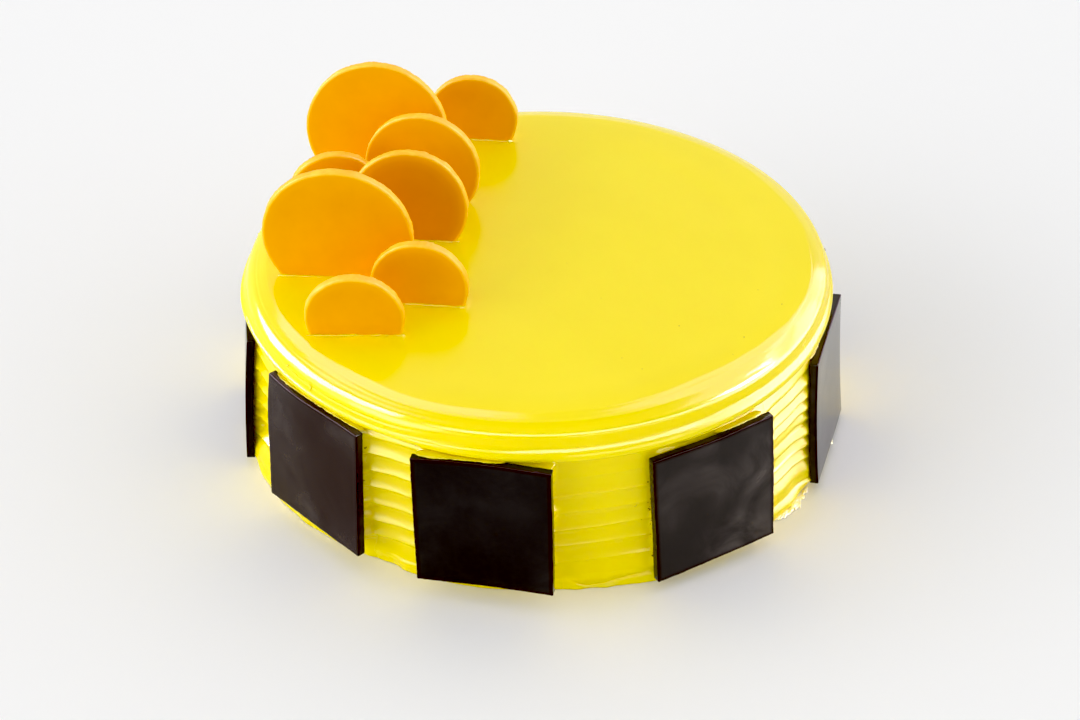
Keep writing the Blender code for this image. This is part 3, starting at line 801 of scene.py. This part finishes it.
# ------------------------------------------------------------- the plaques
def plaque_piece(i, row, mats):
    w, h, t = PLAQUE_W / 2, PLAQUE_H / 2, PLAQUE_T / 2
    n = 56
    # rounded square outline, with many points so that its edge can be uneven
    per = []
    corner = 0.45
    for cx, cz, a0 in ((w - corner, h - corner, 0), (-(w - corner), h - corner, 90), (-(w - corner), -(h - corner), 180), (w - corner, -(h - corner), 270)):
        arcpts = [(cx + corner * math.cos(math.radians(a)), cz + corner * math.sin(math.radians(a))) for a in np.linspace(a0, a0 + 90, 5)]
        per += arcpts
        nx = {0: (-(w - corner), h), 90: (-w, -(h - corner)), 180: (w - corner, -h), 270: (w, h - corner)}[a0]
        x0, z0 = arcpts[-1]
        for s in np.linspace(0, 1, n + 1)[1:-1]:
            per.append((x0 + (nx[0] - x0) * s, z0 + (nx[1] - z0) * s))
    per = np.array(per)
    m = len(per)
    ang = np.arange(m)
    # inset and depth of each ring, from the middle of the front to the middle of the back
    e = 0.30
    rings = [("f", s) for s in (1.0, 0.8, 0.6, 0.42, 0.28, 0.17, 0.10, 0.06)] + [("e", a) for a in np.linspace(0, 90, 5)]
    rings += [("s", s) for s in (0.25, 0.5, 0.75)] + [("b", a) for a in np.linspace(0, 90, 5)] + [("r", s) for s in (0.08, 0.3, 0.6, 1.0)]
    X, Y, Z, E = [], [], [], []
    nrm = np.stack([np.where(np.abs(np.abs(per[:, 0]) - w) < corner * 1.01, np.sign(per[:, 0]), 0), np.where(np.abs(np.abs(per[:, 1]) - h) < corner * 1.01, np.sign(per[:, 1]), 0)], 1)
    nrm = nrm / np.maximum(np.linalg.norm(nrm, axis=1)[:, None], 1e-6)
    wav = 0.14 * noise2(ang * 0.06, ang * 0 + i, 200 + i, nx=int(m * 0.06) + 1) + 0.05 * noise2(ang * 0.6, ang * 0 + i, 210 + i, nx=int(m * 0.6) + 1)
    for kind, s in rings:
        if kind in "fr":
            inset, y, edge = min(s * min(w, h) + e, min(w, h)), (-t if kind == "f" else t), 0.0
            k = 1 - (inset / min(w, h))
            px, pz = per[:, 0] * k, per[:, 1] * k
            if inset < 6:
                px, pz = per[:, 0] - np.sign(per[:, 0]) * np.minimum(inset, np.abs(per[:, 0])), per[:, 1] - np.sign(per[:, 1]) * np.minimum(inset, np.abs(per[:, 1]))
                px, pz = np.clip(per[:, 0], -(w - inset), w - inset), np.clip(per[:, 1], -(h - inset), h - inset)
            else:
                px, pz = np.clip(per[:, 0], -w, w) * (w - inset) / w, np.clip(per[:, 1], -h, h) * (w - inset) / w
            edge = 0.0 if (inset > e + 0.3 or kind == "r") else 0.3
        elif kind == "e":
            a = math.radians(s)
            inset, y, edge = e * (1 - math.sin(a)), -t + e * (1 - math.cos(a)), 1.0
            px, pz = per[:, 0] - nrm[:, 0] * inset, per[:, 1] - nrm[:, 1] * inset
        elif kind == "s":
            inset, y, edge = 0.0, -t + e + (2 * t - 2 * e) * s, 0.12 if s < 0.4 else 0.0
            px, pz = per[:, 0], per[:, 1]
        else:
            a = math.radians(s)
            inset, y, edge = e * (1 - math.cos(a)), t - e * (1 - math.sin(a)), 0.1
            px, pz = per[:, 0] - nrm[:, 0] * inset, per[:, 1] - nrm[:, 1] * inset
        out = wav if kind in "esb" else 0.0
        jag = (0.07 * noise2(ang * 1.3 + 5, ang * 0 + y * 2.0 + i, 220 + i) if kind in "esb" else 0.0)
        px, pz = px + nrm[:, 0] * (out + jag), pz + nrm[:, 1] * (out + jag)
        yy = y + 0 * px
        if kind == "f":
            d = np.hypot(px - 2, pz + 1)
            yy = yy + 0.035 * rough(px / 15 + i * 3 + 9, pz / 15 + 4, 230 + i, 3) + 0.03 * np.sin(d * 0.55 + i) * np.exp(-((d - 12) / 7) ** 2)
            yy = yy + 0.07 * step(3.5, 0.5, np.minimum(w - np.abs(px), h - np.abs(pz)))
        X.append(px); Z.append(pz); Y.append(yy); E.append(np.full(m, edge))
    v = np.stack([np.array(X), np.array(Y), np.array(Z)], -1).reshape(-1, 3)
    f = grid_faces(len(rings), m, flip=False)
    u_n, v_n = v[:, 0] / w, v[:, 2] / h
    for a, b, c, d, e_, f_ in WARPS[i]:
        v[:, 1] += a * (u_n ** 2) + b * (v_n ** 2) + c * u_n * v_n + d * np.clip(-u_n, 0, 1) ** 2 * np.clip(v_n, 0, 1) ** 2 + e_ * np.cos(u_n * 2.6 + f_) * (0.5 + 0.5 * v_n)
    lx, lz = v[:, 0] / 25.0 + 7.0 * i, v[:, 2] / 25.0
    # Painted light: each square's base tint is set to how that square is lit, and the tone-0 colour is lifted and
    # greyed to stand in for the floor it reflects.
    painted_light_tone = np.full(len(v), (0.1, 1.0, 0.0, 0.45, 0.45, 0.2, 0.5, 0.1, 0.6)[i])
    # Partly real bloom and partly painted sheen: pale clouds stand in for reflections off the waviness of each square's
    # face.
    bloom_and_painted_sheen = np.full(len(v), (0.0, 0.50, 0.12, 1.20, 0.9, 0.3, 0.5, 0.2, 0.6)[i])
    # Painted reflection: the third square is made paler towards its bottom to stand in for the floor it reflects.
    if i == 2:
        bloom_and_painted_sheen = bloom_and_painted_sheen + 0.26 * np.clip(-v_n, 0, 1)
    if i == 3:
        bloom_and_painted_sheen = bloom_and_painted_sheen * (1 + 0.55 * np.clip(u_n, -1, 1))
    v = apply(plaque_matrix(*row), v)
    ob = new_mesh(f"dark_square_{i + 1}", v, f, mats, {"edge": np.array(E).ravel(), "across": lx, "up": lz, "painted_light_tone": painted_light_tone, "bloom_and_painted_sheen": bloom_and_painted_sheen})
    bm = bmesh.new()
    bm.from_mesh(ob.data)
    bmesh.ops.remove_doubles(bm, verts=bm.verts, dist=2e-6)
    bmesh.ops.recalc_face_normals(bm, faces=bm.faces)
    bm.to_mesh(ob.data)
    bm.free()
    ob.data.shade_smooth()
    return ob


# --------------------------------------------------------------- materials
def principled(name, colour, rough_, **kw):
    mat = bpy.data.materials.new(name)
    mat.use_nodes = True
    nt = mat.node_tree
    b = nt.nodes["Principled BSDF"]
    b.inputs["Base Color"].default_value = (*colour, 1)
    b.inputs["Roughness"].default_value = rough_
    for k, val in kw.items():
        b.inputs[k].default_value = val
    return mat, nt, b


def tex_coord(nt):
    return nt.nodes.new("ShaderNodeTexCoord").outputs["Object"]


def add_noise(nt, vec, scale, detail=3.0, rough_=0.55, stretch=None):
    if stretch:
        mp = nt.nodes.new("ShaderNodeMapping")
        mp.inputs["Scale"].default_value = stretch
        nt.links.new(vec, mp.inputs["Vector"])
        vec = mp.outputs["Vector"]
    n = nt.nodes.new("ShaderNodeTexNoise")
    n.inputs["Scale"].default_value = scale
    n.inputs["Detail"].default_value = detail
    n.inputs["Roughness"].default_value = rough_
    nt.links.new(vec, n.inputs["Vector"])
    return n.outputs["Fac"]


def ramp(nt, fac, stops):
    r = nt.nodes.new("ShaderNodeValToRGB")
    el = r.color_ramp.elements
    while len(el) < len(stops):
        el.new(0.5)
    for e, (pos, col) in zip(el, stops):
        e.position = pos
        e.color = (*col, 1) if len(col) == 3 else col
    nt.links.new(fac, r.inputs["Fac"])
    return r.outputs["Color"]


def mix(nt, fac, a, b, kind="MIX"):
    m = nt.nodes.new("ShaderNodeMix")
    m.data_type = "RGBA"
    m.blend_type = kind
    for sock, val in ((m.inputs["Factor"], fac), (m.inputs["A"], a), (m.inputs["B"], b)):
        if hasattr(val, "is_output"):
            nt.links.new(val, sock)
        elif isinstance(val, (int, float)):
            sock.default_value = val
        else:
            sock.default_value = (*val, 1)
    return m.outputs["Result"]


def map_range(nt, val, a, b, c, d):
    m = nt.nodes.new("ShaderNodeMapRange")
    for k, x in (("From Min", a), ("From Max", b), ("To Min", c), ("To Max", d)):
        m.inputs[k].default_value = x
    nt.links.new(val, m.inputs["Value"])
    return m.outputs["Result"]


def attribute(nt, name):
    a = nt.nodes.new("ShaderNodeAttribute")
    a.attribute_name = name
    return a.outputs["Fac"]


def bump(nt, bsdf, height, strength, distance):
    b = nt.nodes.new("ShaderNodeBump")
    b.inputs["Strength"].default_value = strength
    b.inputs["Distance"].default_value = distance
    nt.links.new(height, b.inputs["Height"])
    nt.links.new(b.outputs["Normal"], bsdf.inputs["Normal"])


def cream_material():
    mat, nt, b = principled("cream_yellow", (0.90, 0.72, 0.004), 0.27)
    b.inputs["Specular IOR Level"].default_value = 0.34
    b.inputs["Subsurface Weight"].default_value = 0.40
    nt.links.new(math_node(nt, "MULTIPLY", math_node(nt, "SUBTRACT", 1.0, attribute(nt, "join")), 0.40), b.inputs["Subsurface Weight"])
    b.inputs["Subsurface Radius"].default_value = (1.0, 0.75, 0.08)
    b.inputs["Subsurface Scale"].default_value = 0.006
    vec = tex_coord(nt)
    broad = add_noise(nt, vec, 22, 3)
    col = ramp(nt, broad, [(0.30, (0.905, 0.735, 0.002)), (0.70, (0.935, 0.765, 0.003))])
    nt.links.new(col, b.inputs["Base Color"])
    sheen = map_range(nt, add_noise(nt, vec, 60, 4), 0.3, 0.7, 0.19, 0.24)
    nt.links.new(math_node(nt, "SUBTRACT", sheen, math_node(nt, "MULTIPLY", attribute(nt, "gloss"), 0.10)), b.inputs["Roughness"])
    bump(nt, b, add_noise(nt, vec, 420, 3, 0.6), 0.2, 0.00006)
    return mat


def orange_material():
    mat, nt, b = principled("orange_chocolate", (0.82, 0.37, 0.001), 0.45)
    b.inputs["Specular IOR Level"].default_value = 0.14
    vec = tex_coord(nt)
    mott = add_noise(nt, vec, 70, 4)
    col = ramp(nt, mott, [(0.3, (0.755, 0.320, 0.0008)), (0.7, (0.80, 0.350, 0.001))])
    # Painted light and shade: the orange is darkened or lightened by each disc's painted light tone.
    col = mix(nt, attribute(nt, "painted_light_tone"), mix(nt, 1.0, col, (0.86, 0.80, 1.0), "MULTIPLY"), mix(nt, 1.0, col, (1.16, 1.28, 1.0), "MULTIPLY"))
    # Painted glow: a warmer band inside the edge, then a paler edge colour, standing in for light shining through the
    # thin rim.
    col = mix(nt, math_node(nt, "MULTIPLY", attribute(nt, "painted_glow"), 0.7), col, (0.83, 0.395, 0.001))
    edge = ramp(nt, add_noise(nt, vec, 260, 3), [(0.35, (0.90, 0.49, 0.008)), (0.65, (0.95, 0.58, 0.03))])
    col = mix(nt, attribute(nt, "rim"), col, edge)
    col = mix(nt, attribute(nt, "line"), col, (0.12, 0.022, 0.002))
    nt.links.new(col, b.inputs["Base Color"])
    bump(nt, b, add_noise(nt, vec, 700, 3, 0.6), 0.2, 0.00006)
    return mat


def dark_material():
    mat, nt, b = principled("dark_chocolate", (0.012, 0.006, 0.004), 0.24)
    b.inputs["Specular IOR Level"].default_value = 0.09
    b.inputs["Coat Weight"].default_value = 0.6
    b.inputs["Coat IOR"].default_value = 1.2
    b.inputs["Coat Roughness"].default_value = 0.12
    vec = tex_coord(nt)
    comb = nt.nodes.new("ShaderNodeCombineXYZ")
    nt.links.new(attribute(nt, "across"), comb.inputs[0])
    nt.links.new(attribute(nt, "up"), comb.inputs[1])
    flat = comb.outputs[0]
    painted_light_tone, bloom_and_painted_sheen = attribute(nt, "painted_light_tone"), attribute(nt, "bloom_and_painted_sheen")
    soft = add_noise(nt, flat, 0.85, 2, 0.40)
    swirl = nt.nodes.new("ShaderNodeTexNoise")
    swirl.inputs["Scale"].default_value = 1.3
    swirl.inputs["Detail"].default_value = 4.0
    swirl.inputs["Roughness"].default_value = 0.55
    swirl.inputs["Distortion"].default_value = 0.9
    nt.links.new(flat, swirl.inputs["Vector"])
    cloud = math_node(nt, "MULTIPLY", soft_step(nt, soft, 0.35, 0.75), soft_step(nt, swirl.outputs["Fac"], 0.25, 0.85))
    cloud = math_node(nt, "MULTIPLY", cloud, bloom_and_painted_sheen, True)
    # Painted light: base tints set square by square to how each is lit; the first stop is lifted to stand in for floor
    # reflection.
    col = ramp(nt, painted_light_tone, [(0.0, (0.0150, 0.0126, 0.0122)), (0.45, (0.0320, 0.0275, 0.0255)), (1.0, (0.0150, 0.0036, 0.0016))])
    # Pale clouds: partly real bloom, partly a painted sheen standing in for reflections.
    col = mix(nt, cloud, col, (0.095, 0.080, 0.074))
    fine = add_noise(nt, flat, 11.0, 4, 0.6)
    col = mix(nt, map_range(nt, fine, 0.40, 0.80, 0.0, 0.05), col, (0.05, 0.038, 0.034))
    col = mix(nt, attribute(nt, "edge"), col, (0.020, 0.0055, 0.0035))
    nt.links.new(col, b.inputs["Base Color"])
    nt.links.new(map_range(nt, cloud, 0.0, 1.0, 0.14, 0.30), b.inputs["Roughness"])
    height = math_node(nt, "ADD", soft, math_node(nt, "MULTIPLY", add_noise(nt, vec, 150, 3, 0.5), 0.03))
    bump(nt, b, height, 0.25, 0.0007)
    return mat


def crumb_material():
    mat, nt, b = principled("chocolate_crumb", (0.08, 0.035, 0.006), 0.6)
    b.inputs["Specular IOR Level"].default_value = 0.08
    col = ramp(nt, add_noise(nt, tex_coord(nt), 500, 2), [(0.38, (0.14, 0.07, 0.004)), (0.62, (0.50, 0.35, 0.006))])
    nt.links.new(col, b.inputs["Base Color"])
    return mat


def smear_material():
    """Cream spread thin, so that the pale plate shows through it."""
    mat, nt, b = principled("cream_thin", (0.92, 0.85, 0.30), 0.38)
    b.inputs["Specular IOR Level"].default_value = 0.45
    col = ramp(nt, add_noise(nt, tex_coord(nt), 260, 3), [(0.35, (0.97, 0.88, 0.25)), (0.65, (0.97, 0.95, 0.75))])
    nt.links.new(col, b.inputs["Base Color"])
    bump(nt, b, add_noise(nt, tex_coord(nt), 420, 3, 0.6), 0.2, 0.00006)
    return mat


# ------------------------------------------------------------------- stage
def camera():
    unit = 0.130
    f, dist, elev, yaw, pitch, roll = 2373.34, 6.8106, *np.radians([37.869, -0.155, -1.114, 0.217])
    cx, cy = -0.022, -0.0094
    c = np.array([0, -dist * math.cos(elev), dist * math.sin(elev)])
    fw = -c / np.linalg.norm(c)
    rt = np.array([1.0, 0, 0])
    up = np.cross(rt, fw)
    base = np.stack([rt, up, -fw])
    ry = np.array([[math.cos(yaw), 0, math.sin(yaw)], [0, 1, 0], [-math.sin(yaw), 0, math.cos(yaw)]])
    rx = np.array([[1, 0, 0], [0, math.cos(pitch), -math.sin(pitch)], [0, math.sin(pitch), math.cos(pitch)]])
    rz = np.array([[math.cos(roll), -math.sin(roll), 0], [math.sin(roll), math.cos(roll), 0], [0, 0, 1]])
    rot = (rz @ rx @ ry @ base).T
    cam = bpy.data.cameras.new("camera")
    cam.sensor_width = 36.0
    cam.sensor_fit = "HORIZONTAL"
    cam.lens = f * 36.0 / 1080.0
    cam.clip_start, cam.clip_end = 0.05, 50
    ob = bpy.data.objects.new("camera", cam)
    bpy.context.scene.collection.objects.link(ob)
    m = Matrix.Identity(4)
    for i in range(3):
        for j in range(3):
            m[i][j] = rot[i, j]
    pos = (c - np.array([cx, cy, 0])) * unit
    m.translation = Vector(pos)
    ob.matrix_world = m
    bpy.context.scene.camera = ob


def math_node(nt, op, a, b=None, clamp=False):
    m = nt.nodes.new("ShaderNodeMath")
    m.operation = op
    m.use_clamp = clamp
    for sock, val in zip(m.inputs, (a, b)):
        if val is None:
            continue
        if hasattr(val, "is_output"):
            nt.links.new(val, sock)
        else:
            sock.default_value = val
    return m.outputs[0]


def dot(nt, vec, d):
    m = nt.nodes.new("ShaderNodeVectorMath")
    m.operation = "DOT_PRODUCT"
    nt.links.new(vec, m.inputs[0])
    m.inputs[1].default_value = d
    return m.outputs["Value"]


def soft_step(nt, val, a, b):
    m = nt.nodes.new("ShaderNodeMapRange")
    m.interpolation_type = "SMOOTHSTEP"
    for k, x in (("From Min", a), ("From Max", b), ("To Min", 0.0), ("To Max", 1.0)):
        m.inputs[k].default_value = x
    nt.links.new(val, m.inputs["Value"])
    return m.outputs["Result"]


WORLD_BACK, WORLD_FRONT, WORLD_LEFT, WORLD_RIGHT, WORLD_AHEAD = 1.15, 0.70, 3.10, 1.40, 0.24
CARDS = [
    # az, el, wide, high, turn, brightness, green
    (-98, 32, 62, 28, 46, 27.0, 0.85),
    (-52, 16, 34, 24, 0, 6.4, 1.0),
    (30, 15, 38, 22, 0, 4.0, 0.9),
    (96, 12, 40, 36, 0, 6.5, 0.70),
    (98, 14, 58, 52, 0, 6.0, 0.70),
    (102, 18, 78, 68, 0, 5.0, 0.70),
    (-153, 52, 22, 28, 0, 5.0, 0.40),
    (148, 46, 24, 30, 0, 4.5, 0.50),
    (108, 46, 28, 13, 45, 85.0, 1.0),
    (14, 57, 76, 19, 0, 12.0, 0.94),
    (84, 43, 26, 18, 0, 3.0, 0.9),
]


def card(i, az, el, wide, high, turn, power, green, flat, far=4.0):
    """A lit panel that shows in the gloss only: az from the front towards +X, el up, in degrees."""
    a, e = math.radians(az), math.radians(el)
    n = Vector((math.sin(a) * math.cos(e), -math.cos(a) * math.cos(e), math.sin(e)))
    lamp = bpy.data.lights.new(f"card_{i}", "AREA")
    lamp.shape = "RECTANGLE"
    lamp.size = 2 * far * math.tan(math.radians(wide / 2))
    lamp.size_y = 2 * far * math.tan(math.radians(high / 2))
    lamp.energy = power * math.pi * lamp.size * lamp.size_y
    lamp.color = (1.0, green, 0.97)      # yellow turns lemon under a neutral one
    ob = bpy.data.objects.new(f"card_{i}", lamp)
    e1 = Vector((math.cos(a), math.sin(a), 0.0))
    e2 = n.cross(e1)
    t = math.radians(turn)
    x, y = e1 * math.cos(t) + e2 * math.sin(t), e2 * math.cos(t) - e1 * math.sin(t)
    m = Matrix((x, y, n)).transposed().to_4x4()
    m.translation = n * far + Vector((0, 0, 0.065))
    ob.matrix_world = m
    ob.visible_camera = False
    ob.visible_diffuse = False
    if abs(az) < 120:
        ob.light_linking.receiver_collection = flat
    bpy.context.scene.collection.objects.link(ob)


def stage(level_parts):
    floor_mat, _, b = principled("floor_pale", (0.885, 0.885, 0.89), 0.7)
    b.inputs["Specular IOR Level"].default_value = 0.0
    me = bpy.data.meshes.new("floor")
    s = 6.0
    me.from_pydata([(-s, -s, 0), (s, -s, 0), (s, s, 0), (-s, s, 0)], [], [(0, 1, 2, 3)])
    me.materials.append(floor_mat)
    floor = bpy.data.objects.new("floor", me)
    floor.location.z = -0.0002
    bpy.context.scene.collection.objects.link(floor)
    world = bpy.data.worlds.new("soft")
    bpy.context.scene.world = world
    world.use_nodes = True
    nt = world.node_tree
    bg = nt.nodes["Background"]
    tc = nt.nodes.new("ShaderNodeTexCoord")
    vec = tc.outputs["Generated"]
    back = soft_step(nt, dot(nt, vec, Vector((0, 0.99, -0.15))), -0.1, 0.5)
    low = math_node(nt, "SUBTRACT", 1.0, soft_step(nt, dot(nt, vec, Vector((0, 0, 1))), 0.30, 0.75))
    front = math_node(nt, "SUBTRACT", 1.0, back)
    total = math_node(nt, "ADD", math_node(nt, "MULTIPLY", back, WORLD_BACK - WORLD_FRONT), WORLD_FRONT)
    left = soft_step(nt, dot(nt, vec, Vector((-1, 0, 0))), 0.30, 0.76)
    right = soft_step(nt, dot(nt, vec, Vector((1, 0, 0))), 0.40, 0.90)
    level = math_node(nt, "ADD", math_node(nt, "MULTIPLY", left, WORLD_LEFT), math_node(nt, "MULTIPLY", right, WORLD_RIGHT))
    total = math_node(nt, "ADD", total, math_node(nt, "MULTIPLY", math_node(nt, "MULTIPLY", low, front), level))
    ahead = math_node(nt, "MULTIPLY", low, soft_step(nt, dot(nt, vec, Vector((0, -1, 0))), 0.45, 0.90))
    total = math_node(nt, "SUBTRACT", total, math_node(nt, "MULTIPLY", ahead, WORLD_AHEAD))
    flat = bpy.data.collections.new("level_top")         # the panels for the rim and sides leave the level top alone
    for i, ob in enumerate(level_parts):
        flat.objects.link(ob)
        flat.collection_objects[i].light_linking.link_state = "EXCLUDE"
    for i, row in enumerate(CARDS):
        card(i, *row, flat)
    nt.links.new(total, bg.inputs["Strength"])
    bg.inputs["Color"].default_value = (1, 1, 1, 1)
    vs = bpy.context.scene.view_settings
    vs.view_transform = "Standard"
    vs.look = "None"
    vs.exposure = 0.0
    vs.gamma = 1.0
    vs.use_curve_mapping = True
    vs.curve_mapping.black_level = (0.025, 0.025, 0.025)
    vs.curve_mapping.update()


# -------------------------------------------------------------------- main
cream, orange, dark = cream_material(), orange_material(), dark_material()

side, (shoulder, rim), top = cream_side([cream]), cream_rim([cream]), cream_top([cream])
find, drop = surface((side, rim, shoulder, top))
for ob in (side, rim, shoulder, top, beads([cream]), dabs([cream]), drips(find, [cream]), smears([smear_material()])):
    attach(ob, "root")
    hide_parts("cake")
ob = crumbs(find, drop, [crumb_material()])
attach(ob, "root")
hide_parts("cake")

for i, row in enumerate(DISCS):
    ob = disc_piece(i, row, [orange])
    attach(ob, "root")
    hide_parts(f"disc_{i + 1}")

for i, row in enumerate(PLAQUES):
    ob = plaque_piece(i, row, [dark])
    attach(ob, "root")
    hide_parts(f"plaque_{i + 1}")

camera()
stage((top, shoulder))
